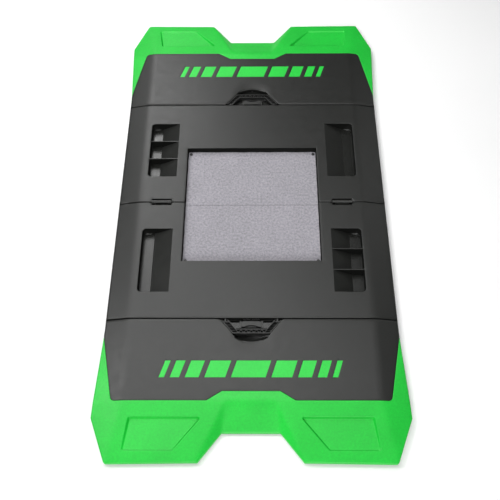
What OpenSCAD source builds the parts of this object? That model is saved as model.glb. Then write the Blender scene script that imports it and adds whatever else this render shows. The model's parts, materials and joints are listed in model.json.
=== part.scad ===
// Folding work mat for a motorcycle: four hinged deck panels with a ramp at each end.
// Millimetres. X runs across the mat, Y along it and Z up. The origin is on the floor
// under the middle of the mat. The two halves are the same mouldings turned half a turn,
// so every sub-part is drawn once for the +Y half and placed twice.

/* [Panels] */
// Height of the deck surface above the floor
deck_top = 38; // [38:1:42]
// Distance from the middle of the mat to the outer hinge seam
seam_y = 381; // [380:1:382]
// Half the width of the black panels
half_w = 398; // [396:1:400]
// Thickness of walls and skins
wall = 3; // [2.5:0.5:3]
// Gap between two panels at a seam
seam_gap = 1; // [0.8:0.1:1.2]
// Distance from the middle of the mat to the start of the sloping shoulders
shoulder_x = 333; // [328:1:338]
// Fall of the shoulder per millimetre outwards
shoulder_fall = 0.2; // [0.15:0.01:0.22]
// Bend radius of the shoulder
shoulder_r = 110; // [60:10:150]

/* [End ramps] */
// Distance from the middle of the mat to the end of the ramp
end_y = 765; // [764:1:770]
// Half the width of the ramp at its widest
ramp_half_w = 410; // [408:1:414]
// Distance from the middle of the mat to the black deck's outer edge
deck_end_y = 610; // [608:1:612]
// Drop of the ramp at its end
ramp_drop = 20; // [18:0.5:21]
// Depth of the trapezoid hollows in the ramp
dish_depth = 9; // [6:0.5:9]
// Depth of the hollows at their outer edge
dish_end_depth = 3; // [2:0.5:5]
// Drop of the centre scoop at the notch
scoop_drop = 25; // [22:0.5:26]

/* [Tray and pockets] */
// Half the side of the square tray
tray_half = 200; // [195:1:202]
// Depth of the tray floor below the deck
tray_depth = 21; // [18:0.5:21]
// Thickness of the felt
felt_t = 3; // [2:0.5:4]
// Depth of the side pockets
pocket_depth = 27.5; // [20:0.5:28]
// Corner radius of the side pockets
pocket_r = 11; // [6:1:14]

/* [Hinges] */
// Distance of the deck hinges from the middle line
hinge_x = 269; // [262:1:272]
// Length of one hinge
hinge_len = 59; // [55:1:60]
// Radius of the middle hinges' knuckles
knuckle_r = 5; // [4.5:0.1:5.5]
// Radius of the underside hinges' knuckles
low_knuckle_r = 4.5; // [4:0.1:4.6]
// Radius of the hinge pins
pin_r = 2; // [1.8:0.1:2.2]
// Running clearance around the pins
pin_gap = 0.05; // [0.04:0.01:0.08]

/* [Handles and locks] */
// Thickness of the bail handle
bail_t = 10; // [9:0.5:10]
// Width of the handle's arms and grip across their run
bail_w = 15; // [14:0.5:16]
// Depth of the handle recess
recess_depth = 15; // [15:0.5:16]
// Depth of the finger scoop
finger_depth = 24; // [20:0.5:25]
// Radius of the handle's pivot pins
pivot_r = 1.8; // [1.6:0.1:2]

/* [Feet] */
// Height of the rubber feet
foot_h = 6; // [6:0.5:6.5]
// Radius of the rubber feet
foot_r = 13; // [10:1:14]

/* [Hidden] */
$fn = 64;

black_pp = [0.24, 0.25, 0.24];
green_pp = [0.25, 0.85, 0.35];
felt_grey = [0.68, 0.67, 0.69];
steel = [0.62, 0.63, 0.65];
rubber = [0.08, 0.08, 0.08];

under = foot_h;                       // underside of every panel
seam = seam_gap / 2;
edge_z = deck_top - shoulder_fall * (half_w - shoulder_x);
shoulder_a = atan(shoulder_fall);
edge_r = 4;
rib_xs = [-262, -131, 0, 131, 262];
rib_t = 2.5;
over = 1;                             // how far a cutting shape passes a face

// middle hinges turn about the deck surface, outer ones about the underside
fold_gap = 0.5;
fold_z = deck_top + fold_gap;
low_z = under - 0.4;
slot_reach = 11;
slot_depth = 12;
notch_reach = 11.5;
notch_h = 7;
side_knuckle = 9;
knuckle_gap = 0.5;
knuckle_end_gap = 0.3;

// side pockets: flat floor at the outside, a slope up to the deck at the inside
pocket_x = [230, 318];
pocket_fold_x = 286;
pocket_y = [94, 300];
pocket_rib_y = [162, 230];

tray_z = deck_top - tray_depth;
felt_top = tray_z + felt_t;
stud_at = tray_half - 9;
stud_y = 192;
stud_head_r = 5;
stud_head_t = 1.2;

// handle recess: a trapezoid from the seam outwards
recess_w = [87, 50.5];
recess_end_y = seam_y + 45;
recess_k = (recess_w[0] - recess_w[1]) / (recess_end_y - seam_y);
recess_z = deck_top - recess_depth;
arm_a = atan(recess_k);
bail_gap = 1.2;
bail_top = deck_top - 1;
bail_z = bail_top - bail_t;
bail_end_y = recess_end_y - bail_gap;
bail_arm_x = bail_w / cos(arm_a);     // width of an arm measured along X
bail_grip_y = 13.3;
rim_t = 2.2;
trough_floor = 2.2;
arm_rib_ys = [399, 407, 415];
arm_end_r = 6.5;                      // round end of an arm, about the pivot
pivot_y = seam_y + 7;
pivot_z = bail_top - arm_end_r;
lug_t = 3.6;
lug_shift = 0.6;                      // outwards, clear of the arm's slanted inner rim
lug_r = 3.4;
trench = [62, 387.5, 12];             // open slot along the seam, under the lock's tongue
finger_r = 72.5;
finger_c = 373.7;
finger_z = deck_top - finger_depth;

lock_travel = 7;
lock_half = 26.5;
lock_y = [388, 401];
tongue_half = 22;
tongue_y = 383.5;
lock_gap = 0.3;
flange_half = 29;
thumb_r = 46;
thumb_y = 398.4;

flange_w = 30;                        // ramp flange under the deck's rim
flange_t = 3;
flange_start = 440;
screw_xy = [[160, 594], [305, 594], [348, 545]];
boss_z = under + 6;

foot_middle = [[329, 45], [329, 341]];
foot_end_deck = [[196, 441]];
foot_end_ramp = [[196, 742]];
post_r = 14;
stem_r = 4;
stem_h = 8;

fold_slope = [333, deck_end_y];       // start of the ramp's shoulder line
fold_out = 32;                        // how far that line runs out by the end
end_fall = ramp_drop / (end_y - deck_end_y);
corner_fall = (ramp_drop - shoulder_fall * fold_out) / (end_y - deck_end_y);

dish_path = [[122, 650], [313, 650], [326, 736], [195, 736]];
dish_z = deck_top - end_fall * (dish_path[0][1] - deck_end_y) - dish_depth;
dish_fall = end_fall - (dish_depth - dish_end_depth) / (dish_path[2][1] - dish_path[0][1]);
scoop_start = 613;
scoop_fall = scoop_drop / 74;
horn_point = [67, 618, deck_top - 1];
horn_rise = 0.561;
horn_fall = 0.407;

bar_h = 46;
bar_y = 526;
bar_slant = 15;
bar_gap = 15;
bar_widths = [14, 24, 36, 54, 90, 54, 36, 24, 14];
bar_t = 1;

// ---- outline helpers ----

function unit(v) = v / norm(v);

// Inward normal of a side of a counter-clockwise outline.
function inward(a, b) = unit([a[1] - b[1], b[0] - a[0]]);

// Moves every side of a counter-clockwise outline inwards by d.
function shrink(path, d) = let (n = len(path)) [
    for (i = [0 : n - 1])
        let (
            n1 = inward(path[(i + n - 1) % n], path[i]),
            n2 = inward(path[i], path[(i + 1) % n])
        )
        path[i] + (n1 + n2) * d / (1 + n1 * n2)
];

function arc(c, r, a0, a1, n = 8) = [
    for (i = [0 : n])
        let (a = a0 + (a1 - a0) * i / n)
        c + r * [cos(a), sin(a)]
];

// Arc of radius r in the corner b of the outline a, b, c.
function fillet(a, b, c, r, n = 6) =
    let (
        u = unit(a - b),
        w = unit(c - b),
        half = acos(u * w) / 2,
        m = b + unit(u + w) * r / sin(half),
        p = b + u * r / tan(half) - m,
        q = b + w * r / tan(half) - m,
        a0 = atan2(p[1], p[0]),
        turn = atan2(p[0] * q[1] - p[1] * q[0], p * q)
    )
    arc(m, r, a0, a0 + turn, n);

// Rounds the corners of an outline; a radius of 0 keeps a corner sharp.
function rounded(path, radii) = let (n = len(path)) [
    for (i = [0 : n - 1])
        for (p = radii[i] == 0
            ? [path[i]]
            : fillet(path[(i + n - 1) % n], path[i], path[(i + 1) % n], radii[i]))
            p
];

// An outline that is the same on both sides, from its right half.
function both_sides(half) = concat(half, [
    for (i = [len(half) - 1 : -1 : 0]) [-half[i][0], half[i][1]]
]);

// ---- placing helpers ----

module along_y(y0, y1) {
    translate([0, y1, 0])
        rotate([90, 0, 0])
            linear_extrude(y1 - y0)
                children();
}

module along_x(x0, x1) {
    translate([x0, 0, 0])
        rotate([90, 0, 90])
            linear_extrude(x1 - x0)
                children();
}

module plate(path, z0, z1) {
    translate([0, 0, z0])
        linear_extrude(z1 - z0)
            polygon(path);
}

module block(lo, hi) {
    translate(lo)
        cube(hi - lo);
}

module left_and_right() {
    children();
    mirror([1, 0, 0])
        children();
}

module near() {
    rotate([0, 0, 180])
        children();
}

// Everything above a plane through p that falls by dx and dy per millimetre.
module above(p, dx, dy) {
    translate(p)
        rotate([0, atan(norm([dx, dy])), atan2(dy, dx)])
            translate([-950, -950, 0])
                cube([1900, 1900, 200]);
}

// ---- panel shell ----

function shoulder_half() =
    let (
        t = shoulder_r * tan(shoulder_a / 2),
        c = [shoulder_x - t, deck_top - shoulder_r],
        e = [half_w - edge_r, edge_z + edge_r * tan(shoulder_a) - edge_r / cos(shoulder_a)]
    )
    concat(
        [[half_w, under]],
        arc(e, edge_r, 0, 90 - shoulder_a, 4),
        arc(c, shoulder_r, 90 - shoulder_a, 90, 5)
    );

// Cross-section of a panel, moved inwards by d.
module section(d) {
    polygon(shrink(both_sides(shoulder_half()), d));
}

module hollow_section() {
    section(wall);
    translate([-half_w + wall, under - over])
        square([2 * (half_w - wall), wall + 2 * over]);
}

module ribs(y0, y1, rib_ys) {
    for (x = rib_xs)
        block([x - rib_t / 2, y0, under], [x + rib_t / 2, y1, deck_top]);
    for (y = rib_ys)
        block([-half_w, y - rib_t / 2, under], [half_w, y + rib_t / 2, deck_top]);
}

module foot_posts(places, top) {
    left_and_right()
        for (p = places)
            translate([p[0], p[1], under])
                cylinder(r = post_r, h = top - under);
}

module foot_bores(places) {
    left_and_right()
        for (p = places)
            translate([p[0], p[1], under - over])
                cylinder(r = stem_r + 0.05, h = stem_h + over + 0.5);
}

// A hinge knuckle along X about the origin of Y and Z, with its web.
module knuckle(x0, x1, r, web) {
    along_x(x0, x1) {
        circle(r = r);
        polygon(web);
    }
}

// The one long knuckle of a hinge, or its two short ones.
module knuckle_set(x, middle, r, web) {
    half = hinge_len / 2 - knuckle_end_gap;
    inner = half - side_knuckle;
    if (middle) {
        knuckle(x - inner + knuckle_gap, x + inner - knuckle_gap, r, web);
    } else {
        knuckle(x - half, x - inner, r, web);
        knuckle(x + inner, x + half, r, web);
    }
}

function fold_web() = [
    [seam + 0.2, -slot_depth - fold_gap - over],
    [slot_reach - 1.5, -slot_depth - fold_gap - over],
    [knuckle_r - 0.2, -0.5],
    [seam + 0.2, 0]
];

function low_web(side) = let (
    top = notch_h + under - low_z + over,
    path = [
        [seam + 0.2, 0],
        [low_knuckle_r - 0.3, 0.5],
        [notch_reach - 2, top],
        [seam + 0.2, top]
    ]
) [for (p = path) [side * p[0], p[1]]];

module low_notches(grow) {
    left_and_right()
        block(
            [hinge_x - hinge_len / 2 - grow, seam_y - notch_reach - grow, under - over],
            [hinge_x + hinge_len / 2 + grow, seam_y + notch_reach + grow, under + notch_h + grow]
        );
}

module low_bores() {
    left_and_right()
        translate([hinge_x - hinge_len / 2, seam_y, low_z])
            rotate([0, 90, 0])
                cylinder(r = pin_r + pin_gap, h = hinge_len);
}

module low_knuckles(middle, side) {
    for (x = [-hinge_x, hinge_x])
        translate([0, seam_y, low_z])
            knuckle_set(x, middle, low_knuckle_r, low_web(side));
}

// ---- middle panel ----

// Room of a side pocket, grown by its own wall.
module pocket_room(grow) {
    x0 = pocket_x[0] - grow;
    x1 = pocket_x[1] + grow;
    y0 = pocket_y[0] - grow;
    y1 = pocket_y[1] + grow;
    r = pocket_r + grow;
    z0 = deck_top - pocket_depth - grow;
    intersection() {
        along_y(y0, y1)
            polygon([
                [x0, deck_top + over],
                [x0, deck_top],
                [pocket_fold_x, z0],
                [x1, z0],
                [x1, deck_top + over]
            ]);
        plate(
            concat(
                [[x0, y1], [x0, y0]],
                arc([x1 - r, y0 + r], r, -90, 0),
                arc([x1 - r, y1 - r], r, 0, 90)
            ),
            z0 - over,
            deck_top + over
        );
    }
}

module pocket_dividers() {
    for (y = pocket_rib_y)
        block([pocket_x[0], y - wall / 2, under], [pocket_x[1], y + wall / 2, deck_top]);
}

module tray_room(grow) {
    block(
        [-tray_half - grow, -over, tray_z - grow],
        [tray_half + grow, tray_half + 2 + grow, deck_top + over]
    );
}

module fold_slots(grow) {
    left_and_right()
        block(
            [hinge_x - hinge_len / 2 - grow, -over, deck_top - slot_depth - grow],
            [hinge_x + hinge_len / 2 + grow, slot_reach + grow, deck_top + over]
        );
}

module middle_shell() {
    difference() {
        along_y(seam, seam_y - seam)
            section(0);
        difference() {
            along_y(seam + wall, seam_y - seam - wall)
                hollow_section();
            ribs(seam, seam_y - seam, [127, 254]);
            foot_posts(foot_middle, deck_top);
            tray_room(wall);
            left_and_right()
                pocket_room(wall);
            fold_slots(wall);
            low_notches(wall);
        }
    }
}

module handle_lugs() {
    lug_x = pivot_mid_x() + lug_shift;
    left_and_right()
        along_x(lug_x - lug_t / 2, lug_x + lug_t / 2) {
            translate([pivot_y, pivot_z])
                circle(r = lug_r);
            translate([seam_y - seam - 1.5, pivot_z - lug_r])
                square([pivot_y - seam_y + seam + 1.5, 2 * lug_r]);
        }
}

module middle_deck() {
    color(black_pp)
        difference() {
            union() {
                difference() {
                    middle_shell();
                    tray_room(0);
                    pocket_room(0);
                    mirror([1, 0, 0])
                        difference() {
                            pocket_room(0);
                            pocket_dividers();
                        }
                    fold_slots(0);
                    low_notches(0);
                    block(
                        [-tongue_half - 1, seam_y - 9, recess_z - 0.3],
                        [tongue_half + 1, seam_y, recess_z + 7]
                    );
                }
                translate([0, 0, fold_z]) {
                    knuckle_set(-hinge_x, true, knuckle_r, fold_web());
                    knuckle_set(hinge_x, false, knuckle_r, fold_web());
                }
                low_knuckles(true, -1);
                handle_lugs();
            }
            left_and_right()
                translate([hinge_x - hinge_len / 2, 0, fold_z])
                    rotate([0, 90, 0])
                        cylinder(r = pin_r + pin_gap, h = hinge_len);
            low_bores();
            pivot_bores(lug_t + 4);
            foot_bores(foot_middle);
            stud_bores(0.1, tray_z);
        }
}

// ---- felt ----

module stud_bores(gap, top) {
    left_and_right()
        translate([stud_at, stud_y, top - 20])
            cylinder(r = 2.2 + gap, h = 20 + over);
}

module felt_pad() {
    edge = 1.5;
    path = rounded(
        [
            [tray_half - edge, seam + 0.2],
            [tray_half - edge, tray_half + 2 - edge],
            [-tray_half + edge, tray_half + 2 - edge],
            [-tray_half + edge, seam + 0.2]
        ],
        [0, 4, 4, 0]
    );
    color(felt_grey)
        difference() {
            plate(path, tray_z, felt_top);
            stud_bores(0.2, felt_top);
            left_and_right()
                translate([stud_at, stud_y, felt_top - stud_head_t])
                    cylinder(r = stud_head_r + 0.2, h = stud_head_t + over);
        }
}

module felt_studs() {
    color(rubber)
        left_and_right()
            translate([stud_at, stud_y, 0])
                rotate_extrude()
                    polygon([
                        [0, felt_top],
                        [stud_head_r - 0.5, felt_top],
                        [stud_head_r, felt_top - 0.5],
                        [stud_head_r, felt_top - stud_head_t],
                        [2.2, felt_top - stud_head_t],
                        [2.2, tray_z - wall],
                        [3.4, tray_z - wall],
                        [2.8, tray_z - wall - 1.5],
                        [0, tray_z - wall - 1.5]
                    ]);
}

// ---- end deck ----

deck_half = [
    [half_w, seam_y + seam],
    [half_w, 429],
    [360, deck_end_y],
    [114, deck_end_y],
    [75, deck_end_y - 24.5]
];
deck_corners = both_sides(deck_half);
deck_path = rounded(deck_corners, [0, 0, 12, 0, 0, 0, 0, 12, 0, 0]);

// Room of the handle recess, grown by its own wall.
module recess_room(grow) {
    path = both_sides([
        [recess_w[0] + recess_k * 9, seam_y - 9],
        [recess_w[1], recess_end_y]
    ]);
    plate(shrink(path, -grow), recess_z - grow, deck_top + over);
}

// Room for the fingers behind the grip, grown by its own wall.
module finger_room(grow) {
    intersection() {
        translate([0, finger_c, 0])
            rotate_extrude($fn = 96)
                polygon([
                    [0, finger_z - grow],
                    [finger_r - 11 + grow, finger_z - grow],
                    [finger_r - 4 + grow, finger_z + 4 - grow],
                    [finger_r + grow, finger_z + 11],
                    [finger_r + 2.5 + grow, deck_top - 3],
                    [finger_r + 6 + grow, deck_top],
                    [finger_r + 6 + grow, deck_top + over],
                    [0, deck_top + over]
                ]);
        block([-90, recess_end_y - 1, 0], [90, recess_end_y + 70, 60]);
    }
    y0 = 404;
    plate(
        shrink(
            both_sides([
                [recess_w[0] - recess_k * (y0 - seam_y), y0],
                [recess_w[1], recess_end_y]
            ]),
            -grow
        ),
        finger_z - grow,
        deck_top + over
    );
}

// The rails hold the lock slider's flanges down.
module lock_rails() {
    left_and_right()
        along_y(seam_y + seam + 3, 405)
            polygon([
                [flange_half + 0.4, recess_z - 1],
                [flange_half + 2.9, recess_z - 1],
                [flange_half + 2.9, recess_z + 5],
                [lock_half + 0.4, recess_z + 5],
                [lock_half + 0.4, recess_z + 2.7],
                [flange_half + 0.4, recess_z + 2.7]
            ]);
}

module emblem_bars(gap) {
    total = len(bar_widths) - 1;
    for (i = [0 : total]) {
        before = i == 0 ? 0 : bar_start(i);
        x = before - bar_start(len(bar_widths)) / 2 + bar_gap / 2;
        plate(
            shrink(
                [
                    [x - bar_slant / 2, bar_y - bar_h / 2],
                    [x + bar_widths[i] - bar_slant / 2, bar_y - bar_h / 2],
                    [x + bar_widths[i] + bar_slant / 2, bar_y + bar_h / 2],
                    [x + bar_slant / 2, bar_y + bar_h / 2]
                ],
                -gap
            ),
            deck_top - bar_t,
            gap > 0 ? deck_top + over : deck_top
        );
    }
}

// Where bar i starts, counted from the first bar.
function bar_start(i) = i == 0 ? 0 : bar_start(i - 1) + bar_widths[i - 1] + bar_gap;

module end_form(path, z0) {
    plate(path, z0, deck_top + over);
}

module screw_towers(r, z0, z1) {
    left_and_right()
        for (p = screw_xy)
            translate([p[0], p[1], z0])
                cylinder(r = r, h = z1 - z0);
}

// Ring under the deck's rim that the ramp's flange fills, from y0 outwards.
module flange_ring(out, in, y0, z0, z1) {
    intersection() {
        difference() {
            plate(shrink(deck_corners, -out), z0, z1);
            plate(shrink(deck_corners, in), z0 - over, z1 + over);
        }
        block([-half_w - 20, y0, z0 - over], [half_w + 20, end_y, z1 + over]);
    }
}

module end_deck_shell() {
    difference() {
        intersection() {
            along_y(seam_y + seam, deck_end_y + over)
                section(0);
            end_form(deck_path, under);
        }
        difference() {
            intersection() {
                along_y(seam_y, deck_end_y)
                    hollow_section();
                end_form(shrink(deck_path, wall), under - over);
            }
            ribs(seam_y, deck_end_y, [500]);
            foot_posts(foot_end_deck, deck_top);
            screw_towers(7, boss_z, deck_top);
            recess_room(wall);
            finger_room(wall);
            low_notches(wall);
        }
    }
}

module end_deck() {
    color(black_pp)
        difference() {
            union() {
                difference() {
                    end_deck_shell();
                    recess_room(0);
                    finger_room(0);
                    block(
                        [-trench[0], seam_y, trench[2]],
                        [trench[0], trench[1], recess_z + over]
                    );
                    low_notches(0);
                    emblem_bars(0.15);
                    flange_ring(1, flange_w, flange_start - 0.5, under - over, under + flange_t + 0.3);
                    screw_towers(9.5, under - over, boss_z + 0.2);
                }
                lock_rails();
                low_knuckles(false, 1);
            }
            low_bores();
            foot_bores(foot_end_deck);
            screw_towers(2.1, boss_z - over, boss_z + 14);
        }
}

module end_emblem() {
    color(green_pp)
        emblem_bars(0);
}

// ---- end ramp ----

ramp_half = [
    [half_w + 0.5, 432],
    [ramp_half_w, 651],
    [365, end_y],
    [133, end_y - 3],
    [75, 688]
];
ramp_corners = both_sides(ramp_half);
ramp_path = rounded(ramp_corners, [0, 8, 8, 4, 4, 4, 4, 8, 8, 0]);

// The ramp's outer shape, its sides moved in by d and its top lowered by d.
module ramp_form(d, z0) {
    top = deck_top - d;
    difference() {
        plate(shrink(ramp_path, d), z0, top);
        plate(shrink(deck_path, -0.3 - d), z0 - over, deck_top + over);
        above([0, deck_end_y, top], 0, end_fall);
        left_and_right() {
            above([shoulder_x, 0, top], shoulder_fall, 0);
            above([fold_slope[0], fold_slope[1], top], shoulder_fall, corner_fall);
            dish_room(d);
        }
        intersection() {
            above([0, scoop_start, top], 0, scoop_fall);
            above(horn_point - [0, 0, d], -horn_rise, horn_fall);
            mirror([1, 0, 0])
                above(horn_point - [0, 0, d], -horn_rise, horn_fall);
        }
    }
}

// Room of one trapezoid hollow. Its floor falls less than the ramp.
module dish_room(grow) {
    path = rounded(dish_path, [6, 8, 8, 8]);
    intersection() {
        plate(shrink(path, -grow), 0, deck_top + over);
        above([0, dish_path[0][1], dish_z - grow], 0, dish_fall);
    }
}

module ramp_hollow() {
    difference() {
        ramp_form(wall, under - over);
        block([-half_w - 20, 0, 0], [half_w + 20, 500, deck_top]);
        for (x = rib_xs)
            block([x - rib_t / 2, 0, 0], [x + rib_t / 2, end_y, deck_top]);
        foot_posts(foot_end_ramp, deck_top);
    }
}

module end_ramp() {
    color(green_pp)
        difference() {
            union() {
                difference() {
                    ramp_form(0, under);
                    ramp_hollow();
                }
                flange_ring(wall, flange_w - 0.5, flange_start, under, under + flange_t);
                screw_towers(9, under, boss_z);
            }
            foot_bores(foot_end_ramp);
            screw_towers(5.2, under - over, under + 3);
            screw_towers(2.7, under, boss_z + over);
        }
}

module ramp_screws() {
    color(steel)
        left_and_right()
            for (p = screw_xy)
                translate([p[0], p[1], 0])
                    difference() {
                        union() {
                            translate([0, 0, under + 0.3])
                                cylinder(r = 4.7, h = 2.7);
                            translate([0, 0, under + 3])
                                cylinder(r = 2.05, h = 14);
                        }
                        translate([0, 0, under])
                            cylinder(r = 2.3, h = 1.8, $fn = 6);
                    }
}

// ---- handle and lock ----

function bail_out_x(y) = recess_w[0] - bail_gap / cos(arm_a) - recess_k * (y - seam_y);
function bail_in_x(y) = bail_out_x(y) - bail_arm_x;
function pivot_mid_x() = (bail_out_x(pivot_y) + bail_in_x(pivot_y)) / 2;

function bail_path() = let (
    start = seam_y - 6,
    grip_in = bail_end_y - bail_grip_y,
    right = [
        [bail_in_x(start), start],
        [bail_out_x(start), start],
        [bail_out_x(bail_end_y), bail_end_y]
    ],
    inside = [[bail_in_x(grip_in), grip_in], [bail_in_x(start), start]]
) concat(
    [for (i = [0 : 2]) right[i]],
    [[-right[2][0], right[2][1]], [-right[1][0], right[1][1]], [-right[0][0], right[0][1]]],
    [[-inside[0][0], inside[0][1]], [inside[0][0], inside[0][1]]]
);

module pivot_bores(len) {
    left_and_right()
        translate([pivot_mid_x() - len / 2, pivot_y, pivot_z])
            rotate([0, 90, 0])
                cylinder(r = pivot_r + pin_gap, h = len);
}

// What the bail loses so that it turns clear of the slanted recess sides: all below the
// pivot that lies outside a cone about its axis, and all behind the pivot past the tip.
module swing_trim() {
    clear = 0.8;
    tip = bail_out_x(pivot_y) + clear;
    left_and_right()
        difference() {
            block([30, seam_y - 10, bail_z - over], [tip + 20, recess_end_y + 5, pivot_z]);
            translate([0, pivot_y, pivot_z])
                rotate([0, 90, 0])
                    cylinder(r1 = tip / recess_k, r2 = 0, h = tip, $fn = 180);
        }
    left_and_right()
        block([tip, seam_y - 10, bail_z - over], [tip + 20, pivot_y, bail_top + over]);
}

// A zig-zag rib from x0 to x1 between two heights of Y.
module zigzag(x0, x1, y0, y1, turns, t) {
    step = (x1 - x0) / turns;
    line = [for (i = [0 : turns]) [x0 + i * step, i % 2 == 0 ? y0 : y1]];
    plate(
        concat(
            [for (p = line) p - [0, t]],
            [for (i = [turns : -1 : 0]) line[i] + [0, t]]
        ),
        bail_z + trough_floor - 0.1,
        bail_top - 0.8
    );
}

module handle() {
    path = bail_path();
    floor_z = bail_z + trough_floor;
    fork_y = pivot_y + 5.5;
    grip_y0 = bail_end_y - bail_grip_y + rim_t;
    grip_y1 = bail_end_y - rim_t;
    color(black_pp)
        difference() {
            union() {
                difference() {
                    intersection() {
                        plate(path, bail_z, bail_top);
                        along_x(-100, 100) {
                            translate([pivot_y, pivot_z])
                                circle(r = arm_end_r);
                            translate([pivot_y, bail_z])
                                square([60, bail_t]);
                        }
                    }
                    plate(shrink(path, rim_t), floor_z, deck_top);
                    swing_trim();
                    intersection() {
                        plate(shrink(path, rim_t), bail_z - over, deck_top);
                        block([-100, 0, 0], [100, fork_y, deck_top]);
                    }
                }
                zigzag(-42, 42, grip_y0, grip_y1, 12, 1.1);
                left_and_right()
                    for (y = arm_rib_ys)
                        block(
                            [bail_in_x(y) + 2, y - 0.9, bail_z + 1],
                            [bail_out_x(y) - 2, y + 0.9, bail_top - 4.5]
                        );
            }
            pivot_bores(bail_arm_x + 4);
        }
}

module handle_pivot_pins() {
    len = bail_arm_x - 3.6;
    color(steel)
        left_and_right()
            translate([pivot_mid_x() - len / 2, pivot_y, pivot_z])
                rotate([0, 90, 0])
                    cylinder(r = pivot_r, h = len);
}

module lock_slider() {
    z0 = recess_z + lock_gap;
    color(black_pp)
        difference() {
            union() {
                block(
                    [-flange_half, lock_y[0], z0],
                    [flange_half, lock_y[1] + 2, recess_z + 2.4]
                );
                block([-lock_half, lock_y[0], z0], [lock_half, lock_y[1] + 2, recess_z + 8]);
                block([-tongue_half, tongue_y, z0], [tongue_half, lock_y[0] + 1, recess_z + 3]);
                plate(
                    [[-4.5, lock_y[0] + 1], [0, tongue_y + 0.5], [4.5, lock_y[0] + 1]],
                    z0 + 1,
                    recess_z + 6
                );
            }
            translate([0, thumb_y + thumb_r, recess_z + 3.4])
                cylinder(r = thumb_r, h = 10, $fn = 128);
        }
}

// ---- pins and feet ----

module hinge_pin(x, y, z) {
    len = hinge_len - 2 * knuckle_end_gap;
    color(steel)
        translate([x - len / 2, y, z])
            rotate([0, 90, 0])
                cylinder(r = pin_r, h = len);
}

module end_hinge_pins() {
    hinge_pin(-hinge_x, seam_y, low_z);
    hinge_pin(hinge_x, seam_y, low_z);
}

module feet(places) {
    color(rubber)
        left_and_right()
            for (p = places)
                translate([p[0], p[1], 0])
                    rotate_extrude()
                        polygon([
                            [0, 0],
                            [foot_r - 1.5, 0],
                            [foot_r, 1.5],
                            [foot_r, foot_h],
                            [stem_r, foot_h],
                            [stem_r, foot_h + stem_h],
                            [0, foot_h + stem_h]
                        ]);
}

near() middle_deck();  // near_middle_deck
middle_deck();  // far_middle_deck
near() end_deck();  // near_end_deck
end_deck();  // far_end_deck
near() end_ramp();  // near_end_ramp
end_ramp();  // far_end_ramp
near() end_emblem();  // near_end_emblem
end_emblem();  // far_end_emblem
near() felt_pad();  // near_felt_pad
felt_pad();  // far_felt_pad
near() felt_studs();  // near_felt_studs
felt_studs();  // far_felt_studs
hinge_pin(-hinge_x, 0, fold_z);  // left_center_hinge_pin
hinge_pin(hinge_x, 0, fold_z);  // right_center_hinge_pin
near() end_hinge_pins();  // near_end_hinge_pins
end_hinge_pins();  // far_end_hinge_pins
near() handle();  // near_handle
handle();  // far_handle
near() handle_pivot_pins();  // near_handle_pivot_pins
handle_pivot_pins();  // far_handle_pivot_pins
near() lock_slider();  // near_lock_slider
lock_slider();  // far_lock_slider
near() ramp_screws();  // near_ramp_screws
ramp_screws();  // far_ramp_screws
near() feet(foot_middle);  // near_middle_feet
feet(foot_middle);  // far_middle_feet
near() feet(concat(foot_end_deck, foot_end_ramp));  // near_end_feet
feet(concat(foot_end_deck, foot_end_ramp));  // far_end_feet
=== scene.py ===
"""Looks of the folding motorcycle work mat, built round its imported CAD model."""

import json
import math

import bmesh
import bpy
import numpy as np
from mathutils import Matrix, Vector
from mathutils.geometry import delaunay_2d_cdt


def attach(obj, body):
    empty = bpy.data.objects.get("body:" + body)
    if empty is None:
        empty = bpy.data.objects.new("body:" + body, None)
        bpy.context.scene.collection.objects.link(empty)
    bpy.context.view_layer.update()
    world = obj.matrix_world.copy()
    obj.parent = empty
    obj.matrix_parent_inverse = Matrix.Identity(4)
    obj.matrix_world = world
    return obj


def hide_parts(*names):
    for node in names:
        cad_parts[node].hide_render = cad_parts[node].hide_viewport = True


MM = 0.001

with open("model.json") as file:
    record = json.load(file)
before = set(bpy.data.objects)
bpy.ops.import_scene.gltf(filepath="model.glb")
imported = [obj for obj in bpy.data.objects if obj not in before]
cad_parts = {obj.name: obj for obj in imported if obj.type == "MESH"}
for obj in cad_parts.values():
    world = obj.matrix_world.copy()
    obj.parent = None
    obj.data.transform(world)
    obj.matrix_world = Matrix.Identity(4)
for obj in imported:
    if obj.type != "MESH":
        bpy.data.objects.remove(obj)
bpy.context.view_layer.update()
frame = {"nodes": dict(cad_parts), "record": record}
nodes = frame["nodes"]

# sRGB colours of the finishes, turned linear by srgb()
BLACK = (29, 30, 28)
GREEN = (24, 194, 57)
FELT = (149, 147, 152)
STUD = (38, 38, 39)


def srgb(rgb):
    """A linear colour with alpha from sRGB values of 0 to 255."""
    def linear(v):
        v /= 255
        return v / 12.92 if v <= 0.04045 else ((v + 0.055) / 1.055) ** 2.4
    return (*[linear(v) for v in rgb], 1.0)


def shade(colour, factor):
    """A linear colour made lighter or darker."""
    return (*[min(1.0, v * factor) for v in colour[:3]], 1.0)


def grey(value):
    return (value, value, value, 1.0)


# ---- node materials, with sizes in metres ----

# where noise mostly lies, the upward normals of level faces and the pointiness of worn edges
NOISE_RANGE = (0.3, 0.7)
LEVEL_NORMAL = (0.95, 0.985)
EDGE_POINTINESS = (0.53, 0.62)

# worn edges against the colour, floors against the roughness, and painted shade and dullness in the
# handle's trough
WORN_SHADE = 2.2
SMOOTH_FLOOR = 0.62
# how dark the painted shade at the floor of the handle's trough is
TROUGH_PAINTED_SHADE = 0.15
TROUGH_ROUGH = 0.9

# the size and depth of each grain
BLACK_GRAIN = (0.0011, 0.0001)
WALL_GRAIN = (0.0011, 0.00005)
GREEN_GRAIN = (0.0014, 0.00008)
STUD_GRAIN = (0.0008, 0.00006)

# heights above the ground: what all floors lie below, and the floor and rim of the trough
FLOORS_TOP = 0.026
HANDLE_TROUGH = (0.030, 0.0362)


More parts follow.
